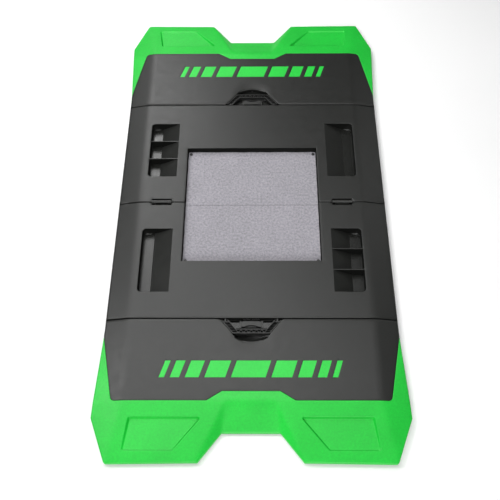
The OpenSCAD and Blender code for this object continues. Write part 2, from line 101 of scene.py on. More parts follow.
class Finish:
    """A Principled material and short ways to add texture nodes to it."""

    def __init__(self, name):
        self.material = bpy.data.materials.new(name)
        self.material.use_nodes = True
        self.tree = self.material.node_tree
        self.shader = self.tree.nodes["Principled BSDF"]
        self.at = self.node("TexCoord").outputs["Object"]

    def node(self, kind, inputs=None, **settings):
        """Adds a shader node; inputs are sockets to link from or plain values."""
        made = self.tree.nodes.new("ShaderNode" + kind)
        for key, value in settings.items():
            setattr(made, key, value)
        for key, value in (inputs or {}).items():
            self.feed(made.inputs[key], value)
        return made

    def feed(self, socket, value):
        """Links a socket to another node's output, or gives it a plain value."""
        if isinstance(value, bpy.types.NodeSocket):
            self.tree.links.new(value, socket)
        else:
            socket.default_value = value

    def noise(self, size, detail=3.0, rough=0.6, at=None):
        """Noise whose features are about size metres across."""
        inputs = {"Vector": at or self.at, "Scale": 1 / size}
        inputs |= {"Detail": detail, "Roughness": rough}
        return self.node("TexNoise", inputs).outputs["Fac"]

    def ramp(self, fac, stops):
        """A colour ramp from (position, colour) stops."""
        made = self.node("ValToRGB", {"Fac": fac})
        band = made.color_ramp
        while len(band.elements) < len(stops):
            band.elements.new(0.5)
        for element, (position, colour) in zip(band.elements, stops):
            element.position = position
            element.color = colour
        return made.outputs["Color"]

    def remap(self, value, start, end, low=0.0, high=1.0):
        """Maps start to end onto low to high, and holds the ends."""
        inputs = {"Value": value, "From Min": start, "From Max": end}
        inputs |= {"To Min": low, "To Max": high}
        return self.node("MapRange", inputs).outputs["Result"]

    def spread(self, noise, low, high):
        """Maps NOISE_RANGE, where noise mostly lies, onto low to high."""
        return self.remap(noise, *NOISE_RANGE, low, high)

    def mix(self, a, b, fac, mode="MIX"):
        """Blends two colours; the socket numbers are those of the colour form of the node."""
        made = self.node("Mix", {0: fac, 6: a, 7: b}, data_type="RGBA", blend_type=mode)
        return made.outputs[2]

    def up(self, vector):
        """The Z part of a vector."""
        return self.node("SeparateXYZ", {"Vector": vector}).outputs["Z"]

    def bump(self, height, depth, strength=1.0, under=None):
        inputs = {"Height": height, "Distance": depth, "Strength": strength}
        if under is not None:
            inputs["Normal"] = under
        return self.node("Bump", inputs).outputs["Normal"]

    def set(self, **inputs):
        """Sets or links inputs of the shader; underscores in a name stand for spaces."""
        for key, value in inputs.items():
            self.feed(self.shader.inputs[key.replace("_", " ")], value)
        return self.material


def level_below(f, height):
    """1 on level faces below a height in the piece's own frame, and 0 elsewhere."""
    low = f.remap(f.up(f.at), height - 2 * MM, height, 1.0, 0.0)
    level = f.remap(f.up(f.node("TexCoord").outputs["Normal"]), *LEVEL_NORMAL)
    return f.node("Math", {0: low, 1: level}, operation="MULTIPLY").outputs[0]


def plastic_colour(f, colour, wear):
    """A cloudy colour with fine flecks, paler by wear along convex edges."""
    base = f.ramp(f.noise(0.09, 4.0, 0.62), [(0.3, shade(colour, 0.93)), (0.7, shade(colour, 1.07))])
    flecks = f.ramp(f.noise(0.0045, 3.0, 0.7), [(0.3, grey(0.90)), (0.72, grey(1.10))])
    base = f.mix(base, flecks, 1.0, "MULTIPLY")
    worn = f.remap(f.node("NewGeometry").outputs["Pointiness"], *EDGE_POINTINESS, 0.0, wear)
    return f.mix(base, shade(colour, WORN_SHADE), worn)


def moulded(name, colour, roughness, grain, wear, gloss=0.5, smooth_below=None, trough=None):
    """Moulded plastic with a spark-eroded grain, given as its size and depth.

    Level floors below the height smooth_below are smoother. A trough, from its floor to its
    rim, gets painted shade, darker towards its floor, and is duller than the rim.
    """
    f = Finish(name)
    base = plastic_colour(f, colour, wear)
    size, depth = grain
    fine = f.bump(f.noise(size, 2.0, 0.55), depth)
    waves = f.bump(f.noise(0.12, 1.0, 0.5), 0.0012, 0.35, fine)
    rough = f.spread(f.noise(0.02, 4.0), roughness - 0.04, roughness + 0.04)
    if smooth_below is not None:
        smooth = f.remap(level_below(f, smooth_below), 0.0, 1.0, 1.0, SMOOTH_FLOOR)
        rough = f.node("Math", {0: rough, 1: smooth}, operation="MULTIPLY").outputs[0]
    if trough is not None:
        # painted shade: the trough's colour darkens from its rim down to its floor
        rise = f.remap(f.up(f.at), *trough)
        base = f.mix(shade(colour, TROUGH_PAINTED_SHADE), base, rise)
        rough = f.remap(rise, 0.0, 1.0, TROUGH_ROUGH, roughness)
    return f.set(Base_Color=base, Roughness=rough, Normal=waves, Specular_IOR_Level=gloss)


def felt_finish():
    """Needled felt: speckled grey wool with short crossing fibres and a soft sheen."""
    f = Finish("felt")
    colour = srgb(FELT)
    speck = f.noise(0.0065, 5.0, 0.75)
    cloud = f.noise(0.07, 3.0, 0.6)
    base = f.ramp(speck, [(0.32, shade(colour, 0.66)), (0.5, colour), (0.68, shade(colour, 1.3))])
    tint = f.ramp(cloud, [(0.3, (0.95, 0.95, 0.96, 1)), (0.7, (1.04, 1.03, 1.05, 1))])
    base = f.mix(base, tint, 1.0, "MULTIPLY")
    fibres = []
    for turn, pull in ((0.4, 9.0), (1.5, 8.0), (2.6, 10.0)):
        turned = f.node("Mapping", {"Vector": f.at, "Rotation": (0, 0, turn), "Scale": (1, pull, 1)})
        fibres.append(f.noise(0.004, 3.0, 0.6, turned.outputs["Vector"]))
    height = f.node("Math", {0: fibres[0], 1: fibres[1]}, operation="MAXIMUM").outputs[0]
    height = f.node("Math", {0: height, 1: fibres[2]}, operation="MAXIMUM").outputs[0]
    hair = f.ramp(height, [(0.55, grey(1.0)), (0.72, (1.18, 1.18, 1.2, 1))])
    base = f.mix(base, hair, 1.0, "MULTIPLY")
    lumps = f.bump(f.noise(0.012, 4.0, 0.6), 0.0012, 0.6)
    fuzz = f.bump(height, 0.0009, 0.8, lumps)
    return f.set(Base_Color=base, Roughness=0.95, Normal=fuzz, Sheen_Weight=0.25,
                 Sheen_Roughness=0.6, Specular_IOR_Level=0.15)


def metal_finish(name, dark, light):
    """Steel with fine drawn scratches; dark and light are the ends of its grey tones."""
    f = Finish(name)
    along = f.node("Mapping", {"Vector": f.at, "Scale": (0.15, 1, 1)}).outputs["Vector"]
    drawn = f.noise(0.0006, 3.0, 0.6, along)
    tone = f.ramp(f.noise(0.004, 3.0), [(0.3, grey(dark)), (0.7, grey(light))])
    rough = f.spread(drawn, 0.28, 0.46)
    return f.set(Base_Color=tone, Metallic=1.0, Roughness=rough, Normal=f.bump(drawn, 0.00006, 0.5))


def rubber_finish():
    """Dark rubber with dust in its pores."""
    f = Finish("foot_rubber")
    pores = f.noise(0.0012, 3.0, 0.7)
    dust = f.noise(0.006, 4.0)
    tone = f.ramp(dust, [(0.3, (0.012, 0.012, 0.013, 1)), (0.75, (0.035, 0.034, 0.032, 1))])
    return f.set(Base_Color=tone, Roughness=f.spread(pores, 0.72, 0.9), Normal=f.bump(pores, 0.0002, 0.6))


black = srgb(BLACK)
FINISHES = {
    "black_plastic": moulded("black_plastic", black, 0.4, BLACK_GRAIN, 0.25, smooth_below=FLOORS_TOP),
    "green_plastic": moulded("green_plastic", srgb(GREEN), 0.46, GREEN_GRAIN, 0.10),
    # walls in the hollows: painted shade, half as light as the black, and duller
    "wall": moulded("black_wall_painted_shade", shade(black, 0.5), 0.75, WALL_GRAIN, 0.0, gloss=0.1),
    # the handle's finish has painted shade in its trough
    "handle": moulded("handle_plastic", black, 0.4, BLACK_GRAIN, 0.25, trough=HANDLE_TROUGH),
    "felt": felt_finish(),
    "stud_plastic": moulded("stud_plastic", srgb(STUD), 0.42, STUD_GRAIN, 0.2),
    "steel": metal_finish("zinc_steel", 0.42, 0.62),
    "dark_steel": metal_finish("black_oxide_steel", 0.035, 0.07),
    "rubber": rubber_finish(),
}


def paint(piece, slot):
    piece.data.materials.clear()
    piece.data.materials.append(FINISHES[slot])


# ---- CAD nodes keep their shapes and get finishes ----

slot_of = {s["node"]: s["material_slot"] for s in frame["record"]["subparts"]}
for name, piece in nodes.items():
    paint(piece, "handle" if name.endswith("_handle") else slot_of[name])


# ---- outlines, in millimetres, for the far half ----

def unit(v):
    return v / math.hypot(*v)


def fillet(a, b, c, radius, count=6):
    """Points of an arc in the corner b of the outline a, b, c; a radius of 0 keeps it sharp."""
    if radius == 0:
        return [b]
    u, w = unit(a - b), unit(c - b)
    half = math.acos(float(u @ w)) / 2
    middle = b + unit(u + w) * radius / math.sin(half)
    p = b + u * radius / math.tan(half) - middle
    q = b + w * radius / math.tan(half) - middle
    start = math.atan2(p[1], p[0])
    turn = math.atan2(p[0] * q[1] - p[1] * q[0], float(p @ q))
    steps = [start + turn * i / count for i in range(count + 1)]
    return [middle + radius * np.array([math.cos(t), math.sin(t)]) for t in steps]


def rounded(corners, radii):
    points = [np.array(c, float) for c in corners]
    count = len(points)
    out = []
    for i, radius in enumerate(radii):
        out += fillet(points[i - 1], points[i], points[(i + 1) % count], radius)
    return np.array(out)


def distance(points, path, closed=True):
    """Distance of each point to a path, and the same with a minus sign inside a closed one."""
    ends = np.roll(path, -1, 0)
    if not closed:
        path, ends = path[:-1], ends[:-1]
    best = np.full(len(points), np.inf)
    inside = np.zeros(len(points), bool)
    for a, b in zip(path, ends):
        run = b - a
        along = np.clip((points - a) @ run / (run @ run), 0, 1)
        best = np.minimum(best, np.hypot(*(points - a - along[:, None] * run).T))
        if a[1] != b[1]:
            crosses = (points[:, 1] < a[1]) != (points[:, 1] < b[1])
            x = a[0] + (points[:, 1] - a[1]) * run[0] / run[1]
            inside ^= crosses & (points[:, 0] < x)
    return np.where(inside & closed, -best, best)


def along(path, gap, inset, closed=True):
    """Points every gap along a path, moved to its left by inset."""
    ends = np.roll(path, -1, 0)
    if not closed:
        path, ends = path[:-1], ends[:-1]
    out = []
    for a, b in zip(path, ends):
        length = math.hypot(*(b - a))
        left = np.array([a[1] - b[1], b[0] - a[0]]) / length
        count = max(1, round(length / gap))
        out += [a + (b - a) * i / count + left * inset for i in range(count)]
    return np.array(out)


# ---- moulded tops: the CAD underside and walls under a skin with rounded edges ----

# the panels, as in the CAD model
DECK_TOP = 38.0
UNDER = 6.0
SEAM_IN = 0.5
SEAM_OUT = 380.5
END_SEAM = 381.5
HALF_W = 398.0
DECK_END = 610.0
RAMP_START = 429.0

# where faces start and how far they fall: the shoulder, the ramp, its corner and its scoop
SHOULDER_X = 333.0
SHOULDER_FALL = 0.2
RAMP_DROP = 20.0
RAMP_RUN = 155.0
CORNER_X = 365.0
END_FALL = RAMP_DROP / RAMP_RUN
CORNER_FALL = (RAMP_DROP - SHOULDER_FALL * (CORNER_X - SHOULDER_X)) / RAMP_RUN
SCOOP_DROP = 25.0
SCOOP_RUN = 74.0
SCOOP_START = 613.0
SCOOP_FALL = SCOOP_DROP / SCOOP_RUN

# the slope beside the scoop: a point on it, its rise outwards and its fall to the end
HORN = (67.0, 618.0, 37.0)
HORN_RISE = 0.561
HORN_FALL = 0.407

# how softly two faces blend where they meet
SHOULDER_SOFT = 2.2
END_SOFT = 1.0
CORNER_SOFT = 1.2
HORN_SOFT = 4.0
SCOOP_SOFT = 3.0

# radii of the edges, and how deep the edges at the seams are cut back
SIDE_R = 4.0
EDGE_R = 1.2
SEAM_R = 0.9
OUTER_SEAM_R = 2.8
OUTER_SEAM_DEPTH = 7.0
CENTER_SEAM_R = 2.2
CENTER_SEAM_DEPTH = 5.0
BAR_R = 0.25

# the mesh: grids, where rows of points run round an edge, small limits and the sharp angle
DECK_GRID = 6.0
RAMP_GRID = 4.0
EDGE_TURNS = [math.radians(a) for a in (72, 54, 36, 18, 0)]
RIM_CLEAR = 0.04
SAME_POINT = 1e-4
TINY = 1e-9
SHARP_FROM = math.radians(22)

# the CAD faces a skin stands for, by the Z of their normal and how far from it they may lie;
# of the ramp's faces that look up, those below RAMP_INSIDE stay
SLOPED = 0.05
UPRIGHT = 0.02
RAMP_INSIDE = 12.3
WALL_REACH = 0.35
TOP_REACH = 0.7
RIM_REACH = 0.5

# boxes of x, y and a floor, in either half, whose steep faces are walls with painted shade: pockets,
# tray, recess
WALL_BOXES = [(229, 319, 93, 301, 10), (0, 201, 0, 203, 16.5), (0, 90, 376, 456, 13.5)]
WALL_UP = 0.45


def least(a, b, soft):
    """The smaller of two heights, blended where they are closer than soft."""
    near = np.clip(soft - np.abs(a - b), 0, None) / soft
    return np.minimum(a, b) - near * near * soft / 4


def most(a, b, soft):
    return -least(-a, -b, soft)


def mirrored(half):
    """A right half outline and its mirror image, in one run."""
    return np.vstack([half, half[::-1] * [-1, 1]])


def mirrored_rounded(corners, radii):
    """A right half outline with rounded corners and its mirror image, in one run."""
    x, y = corners[-1]
    return mirrored(rounded([*corners, (-x, y)], [*radii, 0])[:-1])


def eased(depth, share):
    """A depth times a smooth step, for a share of 0 to 1."""
    return depth * share * share * (3 - 2 * share)


def deck_height(xy):
    """Height of a panel before its edges are rounded: flat, with a bent shoulder."""
    x = np.abs(xy[:, 0])
    shoulder = DECK_TOP - SHOULDER_FALL * (x - SHOULDER_X)
    return least(np.full(len(x), DECK_TOP), shoulder, SHOULDER_SOFT)


class Edge:
    """A path along the rim of a face, rounded with a radius that may change along it.

    The rounding is steepened to end depth below the face, or its radius if depth is left out.
    """

    def __init__(self, path, radius, taper=None, depth=None):
        self.path, self.radius, self.taper = np.array(path, float), radius, taper
        self.steep = (depth or radius) / radius

    def drop(self, xy):
        radius = self.radius * (self.taper(xy) if self.taper else 1.0) + TINY
        x = np.clip(radius - np.abs(distance(xy, self.path, False)), 0, radius)
        return self.steep * (radius - np.sqrt(radius * radius - x * x))


class Face:
    """A moulded top: a region with holes, its height, the edges to round and a grid.

    It may have further rows of points, and lips, a test of where small walls hang from its rim.
    """

    def __init__(self, outer, holes, height, edges, grid, rows=(), lips=None):
        self.outer, self.holes, self.height = outer, holes, height
        self.edges, self.grid = edges, grid
        self.rows, self.lips = rows, lips

    def inset(self, xy):
        """How far each point is inside the region, with a minus sign outside it."""
        best = -distance(xy, self.outer)
        for hole in self.holes:
            best = np.minimum(best, distance(xy, hole))
        return best

    def top(self, xy):
        drops = [edge.drop(xy) for edge in self.edges]
        return self.height(xy) - np.max(drops, axis=0)

    def free_points(self):
        """A grid, and rows that follow the rounded edges."""
        low, high = self.outer.min(0), self.outer.max(0)
        xs = np.arange(low[0] + self.grid / 2, high[0], self.grid)
        ys = np.arange(low[1] + self.grid / 2, high[1], self.grid)
        grid = np.array([(x, y) for y in ys for x in xs])
        keep = self.inset(grid) > self.grid / 2
        for row in self.rows:
            keep &= np.abs(distance(grid, row)) > self.grid / 4
        points = [grid[keep]]
        for turn in EDGE_TURNS:
            for edge in self.edges:
                gap = edge.radius * (1 - math.sin(turn))
                for side in (-gap, gap):
                    points.append(along(edge.path, self.grid, side, False))
        points = np.vstack([*points, *self.rows])
        return points[self.inset(points) > RIM_CLEAR]

    def triangles(self):
        """Places in millimetres and triangles that fill the region."""
        loops = [along(self.outer, self.grid, 0)]
        loops += [along(hole, self.grid, 0) for hole in self.holes]
        flat = [Vector(p) for p in np.vstack(loops + [self.free_points()])]
        sides = []
        start = 0
        for loop in loops:
            count = len(loop)
            sides += [(start + i, start + (i + 1) % count) for i in range(count)]
            start += count
        got = delaunay_2d_cdt(flat, sides, [], 0, SAME_POINT, False)
        xy = np.array([tuple(v) for v in got[0]])
        middles = xy[np.array(got[2])].mean(1)
        kept = np.flatnonzero(self.inset(middles) > 0)
        return np.c_[xy, self.top(xy)], [got[2][i] for i in kept]


def cad_top(bm, face, walls):
    """The faces of a far CAD node that a moulded top stands for, with its walls if asked."""
    bm.faces.ensure_lookup_table()
    middles = np.array([f.calc_center_median() for f in bm.faces]) / MM
    tilts = np.array([f.normal.z for f in bm.faces])
    inset = face.inset(middles[:, :2])
    if walls:
        top = (tilts > SLOPED) & (middles[:, 2] > RAMP_INSIDE)
        top |= (np.abs(tilts) < UPRIGHT) & (np.abs(inset) < WALL_REACH)
    else:
        high = middles[:, 2] > face.height(middles[:, :2]) - TOP_REACH
        top = (tilts > UPRIGHT) & high & (inset > -RIM_REACH)
    return [bm.faces[i] for i in np.flatnonzero(top)]


def open_rim(bm, faces):
    """The edges round some faces that nothing joins, in a fixed order."""
    bm.edges.index_update()
    rim = {e for f in faces for e in f.edges if len(e.link_faces) == 1}
    return sorted(rim, key=lambda e: e.index)


def hang(bm, edges, bottom):
    """Hangs walls from open edges, in their order, down to the height bottom."""
    lower = {}
    for edge in edges:
        for v in edge.verts:
            if v not in lower:
                lower[v] = bm.verts.new((v.co.x, v.co.y, bottom * MM))
    for edge in edges:
        loop = edge.link_loops[0]
        a, b = loop.link_loop_next.vert, loop.vert
        bm.faces.new([a, b, lower[b], lower[a]])


def paint_wall_shade(mesh):
    """Gives the walls of the pockets, tray and recesses the duller finish, darkened as painted shade."""
    for face in mesh.polygons:
        x, y, z = [abs(v) / MM for v in face.center]
        for x0, x1, y0, y1, floor in WALL_BOXES:
            if x0 < x < x1 and y0 < y < y1 and z > floor and abs(face.normal.z) < WALL_UP:
                face.material_index = 1


def cad_shell(node, face, turn, walls):
    """A node's mesh in the far half, without its top and with its rim lowered to the face."""
    bm = bmesh.new()
    bm.from_mesh(nodes[node].data)
    bmesh.ops.remove_doubles(bm, verts=bm.verts, dist=0.001 * MM)
    bm.transform(turn)
    bm.normal_update()
    gone = cad_top(bm, face, walls)
    rim = {v for f in gone for v in f.verts}
    bmesh.ops.delete(bm, geom=gone, context="FACES")
    if not walls:
        rim = [v for v in rim if v.is_valid and v.link_faces]
        heights = face.top(np.array([v.co.xy / MM for v in rim]))
        for v, height in zip(rim, heights):
            v.co.z = height * MM
    return bm


def add_skin(bm, face, walls):
    """Adds a face's skin to a shell, with walls round it or lips if it has them."""
    places, faces = face.triangles()
    made = [bm.verts.new(Vector(p) * MM) for p in places]
    top = [bm.faces.new([made[i] for i in f]) for f in faces]
    if walls:
        hang(bm, open_rim(bm, top), UNDER)
    if face.lips:
        rim = open_rim(bm, top)
        rim = [e for e in rim if all(face.lips(np.array([v.co.xy / MM for v in e.verts])))]
        hang(bm, rim, LIP_BOTTOM)
    loose = [v for v in made if not v.link_faces]
    bmesh.ops.delete(bm, geom=loose, context="VERTS")


def add_piece(name, bm, turn, slot):
    """Turns a far mesh to its half and makes it a painted, smooth object."""
    bm.transform(turn)
    bm.normal_update()
    mesh = bpy.data.meshes.new(name)
    bm.to_mesh(mesh)
    bm.free()
    mesh.shade_smooth()
    piece = bpy.data.objects.new(name, mesh)
    bpy.context.scene.collection.objects.link(piece)
    paint(piece, slot)
    return piece


def moulding(name, node, body, slot, face, turn, walls):
    """Replaces a node by its own mesh with the top exchanged for a face with rounded edges."""
    bm = cad_shell(node, face, turn, walls)
    add_skin(bm, face, walls)
    piece = add_piece(name, bm, turn, slot)
    piece.data.set_sharp_from_angle(angle=SHARP_FROM)
    if slot == "black_plastic":
        # the walls of its pockets, tray and recesses get painted shade and a duller finish
        piece.data.materials.append(FINISHES["wall"])
        paint_wall_shade(piece.data)
    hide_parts(node)
    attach(piece, body)


# ---- middle panel ----

POCKET_X = (230.0, 318.0)
POCKET_Y = (94.0, 300.0)
POCKET_R = 11.0
DIVIDER_Y = (162.0, 230.0)
DIVIDER_T = 3.0
TRAY = (200.0, 202.0)
SLOT_X = (239.5, 298.5)
SLOT_Y = 11.0


def pocket_taper(xy):
    """A pocket's rim is sharp where its slope starts and full past the corner arcs."""
    full = POCKET_X[1] - POCKET_R - POCKET_X[0]
    return np.clip((np.abs(xy[:, 0]) - POCKET_X[0]) / full, 0, 1)


def pocket(y0, y1, radii):
    """One pocket of the right side; radii round its two outer corners."""
    x0, x1 = POCKET_X
    return rounded([(x0, y0), (x1, y0), (x1, y1), (x0, y1)], [0, *radii, 0])


def middle_face():
    x0, x1 = SLOT_X
    slot = [(x0, SEAM_IN), (x0, SLOT_Y), (x1, SLOT_Y), (x1, SEAM_IN)]
    right = [(TRAY[0], TRAY[1]), (TRAY[0], SEAM_IN), *slot, (HALF_W, SEAM_IN), (HALF_W, SEAM_OUT)]
    outer = mirrored(np.array(right, float))
    holes = [pocket(*POCKET_Y, (POCKET_R, POCKET_R))]
    cuts = [POCKET_Y[0], *[y + s * DIVIDER_T / 2 for y in DIVIDER_Y for s in (-1, 1)], POCKET_Y[1]]
    for y0, y1 in zip(cuts[::2], cuts[1::2]):
        radii = (POCKET_R if y0 == POCKET_Y[0] else 0, POCKET_R if y1 == POCKET_Y[1] else 0)
        holes.append(pocket(y0, y1, radii)[::-1] * [-1, 1])
    seam = [(-HALF_W, SEAM_IN), (HALF_W, SEAM_IN)]
    far_seam = [(HALF_W, SEAM_OUT), (-HALF_W, SEAM_OUT)]
    edges = [Edge(seam, CENTER_SEAM_R, None, CENTER_SEAM_DEPTH)]
    edges.append(Edge(far_seam, OUTER_SEAM_R, None, OUTER_SEAM_DEPTH))
    edges.append(Edge(mirrored(np.array(right[:2], float)), EDGE_R))
    for side in (-1, 1):
        edges.append(Edge([(side * HALF_W, SEAM_IN), (side * HALF_W, SEAM_OUT)], SIDE_R))
        edges.append(Edge(np.array(slot) * [side, 1], SEAM_R))
    for i, hole in enumerate(holes):
        path = hole if i == 0 else hole[::-1]
        edges.append(Edge(path, EDGE_R, pocket_taper))
    return Face(outer, holes, deck_height, edges, DECK_GRID)


# ---- end deck ----

DECK_RIGHT = [(HALF_W, END_SEAM), (HALF_W, RAMP_START), (360, DECK_END), (114, DECK_END), (75, 585.5)]
DECK_RIGHT_R = [0, 0, 12, 0, 0]
RECESS_W = (87.0, 50.5)
RECESS_Y = (381.0, 426.0)
FINGER_R = 78.5
FINGER_Y = 373.7
FINGER_LAP = 1.0    # the finger room starts this far before the recess ends
FINGER_EASE = math.radians(20)
FINGER_POINTS = 16
LIP_BOTTOM = 25.0
LIP_FROM_X = 20.0
LIP_CLEAR = (0.02, 0.1)    # a lip is this far inside the arc, and starts this much before it
FLARE_HALF = (66.0, 58.0)
FLARE_Y = 430.0
FLARE_DEPTH = 3.0
BAR_WIDTHS = [14, 24, 36, 54, 90, 54, 36, 24, 14]
BAR_GAP = 15.0
BAR_SLANT = 15.0
BAR_H = 46.0
BAR_Y = 526.0
BAR_FIT = 0.15    # the gap round each inlaid bar
TAPER_RUN = 20.0


def bars():
    """Outlines of the emblem's slanted bars."""
    x = -(sum(BAR_WIDTHS) + BAR_GAP * (len(BAR_WIDTHS) - 1)) / 2
    low, high = BAR_Y - BAR_H / 2 - BAR_FIT, BAR_Y + BAR_H / 2 + BAR_FIT
    lean = BAR_SLANT / 2
    out = []
    for width in BAR_WIDTHS:
        left, right = x - BAR_FIT, x + width + BAR_FIT
        corners = [(left - lean, low), (right - lean, low), (right + lean, high), (left + lean, high)]
        out.append(np.array(corners))
        x += width + BAR_GAP
    return out


def recess_outline():
    """The handle recess and the finger room behind it, from left to right."""
    fall = (RECESS_W[0] - RECESS_W[1]) / (RECESS_Y[1] - RECESS_Y[0])
    start = RECESS_W[0] - fall * (END_SEAM - RECESS_Y[0])
    end = RECESS_W[1] + fall * FINGER_LAP
    corner = np.array([end, RECESS_Y[1] - FINGER_LAP - FINGER_Y])
    turns = np.linspace(math.atan2(corner[1], corner[0]), math.pi / 2, FINGER_POINTS)
    share = np.clip((turns - turns[0]) / FINGER_EASE, 0, 1)
    radii = FINGER_R - (FINGER_R - math.hypot(*corner)) * (1 - share) ** 2
    arc = np.c_[radii * np.cos(turns), FINGER_Y + radii * np.sin(turns)]
    right = np.vstack([[(start, END_SEAM)], arc[:-1]])
    return np.vstack([right * [-1, 1], arc[-1:], right[::-1]])


def finger_lips(xy):
    """Where the rim stands in from the CAD's at the ends of the finger room."""
    away = np.hypot(xy[:, 0], xy[:, 1] - FINGER_Y)
    inside = away < FINGER_R - LIP_CLEAR[0]
    behind = xy[:, 1] > RECESS_Y[1] - FINGER_LAP - LIP_CLEAR[1]
    return inside & behind & (np.abs(xy[:, 0]) > LIP_FROM_X)


def end_face():
    rim = mirrored_rounded(DECK_RIGHT, DECK_RIGHT_R)
    recess = recess_outline()
    outer = np.vstack([rim, recess])
    holes = bars()
    seam = [(-HALF_W, END_SEAM), (HALF_W, END_SEAM)]
    edges = [Edge(seam, OUTER_SEAM_R, None, OUTER_SEAM_DEPTH)]
    edges += [Edge(rim[1:-1], SEAM_R), Edge(recess, EDGE_R)]
    for x in (-HALF_W, HALF_W):
        edges.append(Edge([(x, END_SEAM), (x, RAMP_START)], SIDE_R, side_taper))
    edges += [Edge(np.vstack([bar, bar[:1]]), BAR_R) for bar in holes]
    return Face(outer, holes, end_height, edges, DECK_GRID, lips=finger_lips)


def end_height(xy):
    """The deck's height with the shallow flare behind the grip."""
    reach = np.hypot(xy[:, 0] / FLARE_HALF[0], (xy[:, 1] - FLARE_Y) / FLARE_HALF[1])
    return deck_height(xy) - eased(FLARE_DEPTH, np.clip(1 - reach, 0, 1))


def side_taper(xy):
    """The deck's side edge narrows to the joint's radius where the ramp starts."""
    return np.clip((RAMP_START - xy[:, 1]) / TAPER_RUN, SEAM_R / SIDE_R, 1)


# ---- green ramp ----

RAMP_OUT = [(398.5, 432), (410, 651), (365, 765), (133, 762), (75, 688)]
RAMP_OUT_R = [0, 8, 8, 4, 4]
RAMP_IN = [(397.7, 432), (360.3, 610.3), (114.1, 610.3), (75.1, 585.8)]
RAMP_IN_R = [0, 12, 0, 0]
RAMP_EDGE_R = 3.0
RAMP_JOINT_R = 1.3

# the hollow: its rim, its depth at each end, its soft wall and the rows of points in the wall
DISH = [(122, 650), (313, 650), (326, 736), (195, 736)]
DISH_R = [6, 8, 8, 8]
DISH_DEPTH = 9.0
DISH_END_DEPTH = 3.0
DISH_WALL = 6.0
DISH_ROWS = (-0.2, 0, 0.12, 0.25, 0.4, 0.6, 0.75, 0.88, 1.0, 1.2)
DISH_START, DISH_STOP = DISH[0][1], DISH[2][1]
DISH_Z = DECK_TOP - END_FALL * (DISH_START - DECK_END) - DISH_DEPTH
DISH_FALL = END_FALL - (DISH_DEPTH - DISH_END_DEPTH) / (DISH_STOP - DISH_START)


def slopes_height(x, y):
    """Height of the ramp's slopes on the right side, without its scoop and hollow."""
    end = DECK_TOP - END_FALL * (y - DECK_END)
    shoulder = DECK_TOP - SHOULDER_FALL * (x - SHOULDER_X)
    corner = shoulder - CORNER_FALL * (y - DECK_END)
    middle = least(np.full(len(x), DECK_TOP), end, END_SOFT)
    return least(middle, least(shoulder, corner, CORNER_SOFT), SHOULDER_SOFT)


def ramp_height(xy):
    """Height of the ramp before its edges are rounded, with the hollow's soft walls.

    The hollow's floor falls less than the ramp, so it is deepest at its inner edge.
    """
    x, y = np.abs(xy[:, 0]), xy[:, 1]
    scoop = DECK_TOP - SCOOP_FALL * (y - SCOOP_START)
    horn = HORN[2] + HORN_RISE * (x - HORN[0]) - HORN_FALL * (y - HORN[1])
    top = least(slopes_height(x, y), most(scoop, horn, HORN_SOFT), SCOOP_SOFT)
    floor = DISH_Z - DISH_FALL * (y - DISH_START)
    inside = -distance(np.c_[x, y], rounded(DISH, DISH_R))
    return top - eased(top - floor, np.clip(inside / DISH_WALL, 0, 1))


def ramp_face():
    outer = mirrored_rounded(RAMP_OUT, RAMP_OUT_R)
    inner = mirrored_rounded(RAMP_IN, RAMP_IN_R)
    edges = [Edge(outer, RAMP_EDGE_R), Edge(inner, RAMP_JOINT_R)]
    rows = []
    for share in DISH_ROWS:
        row = along(rounded(DISH, DISH_R), RAMP_GRID, share * DISH_WALL)
        rows += [row, row[::-1] * [-1, 1]]
    return Face(np.vstack([outer, inner[::-1]]), [], ramp_height, edges, RAMP_GRID, rows)


HALVES = {"far": Matrix.Identity(4), "near": Matrix.Rotation(math.pi, 4, "Z")}
MOULDINGS = [
    ("middle_panel", "middle_deck", "middle", "black_plastic", middle_face(), False),
    ("end_panel", "end_deck", "end", "black_plastic", end_face(), False),
    ("ramp", "end_ramp", "end", "green_plastic", ramp_face(), True),
]
for half, turn in HALVES.items():
    for piece, node, body, slot, face, walls in MOULDINGS:
        moulding(f"{half}_{piece}", f"{half}_{node}", f"{half}_{body}", slot, face, turn, walls)


# ---- felt sheets ----

FELT_T = 3.0
FELT_W = 397.0
FELT_L = 200.0
FELT_BACK = 17.0
FELT_SEAM = 0.5
FELT_EDGE_R = 1.3
FELT_SEAM_R = 0.45
FELT_GRID = 5.0
FELT_CORNERS = [2.0, 5.0, 5.0, 2.0]
STUD_AT = (191.0, 192.0)
STUD_HOLE_R = 3.4
STUD_HOLE_POINTS = 12

# the cut edges: waves of (size, length, start), a turn and a lean of all of them, how far they
# may go in and out, and how far from the seam the sides stay straight
WAVES = [(0.3, 61.0, 0.3), (0.15, 27.0, 1.9), (0.08, 11.0, 4.1)]
WAVE_TURN = 5.0
WAVE_LEAN = 0.7
WAVE_LIMITS = (-0.9, 0.5)
STRAIGHT_FROM_SEAM = 8.0

# the face: a side that curls up past a crease, dimples at the studs and no lumps round them
FACE_DROP = 0.25
CURL_START = 180.0
CURL_RUN = 18.5
CURL_RISE = 2.4
CREASE_X = 178.0
CREASE_W = 2.6
CREASE_DEPTH = 0.7
DIMPLE_R = 7.5
DIMPLE_DEPTH = 1.5
CALM_R = 30.0
SEAM_TAPER = 12.0

# the back: this much nearer the face than FELT_T, clear of the tray and drawn up at the rim
BACK_THINNER = 0.3
BACK_CLEAR = 0.05
RIM_WIDTH = 0.02
RIM_RISE = 0.6
RIM_THICKNESS = 0.3


def wander(s):
    """A cut edge that isn't quite straight, as a sum of waves of different lengths."""
    turn = 2 * math.pi
    return sum(size * np.sin(s / length * turn + start + WAVE_TURN) for size, length, start in WAVES)


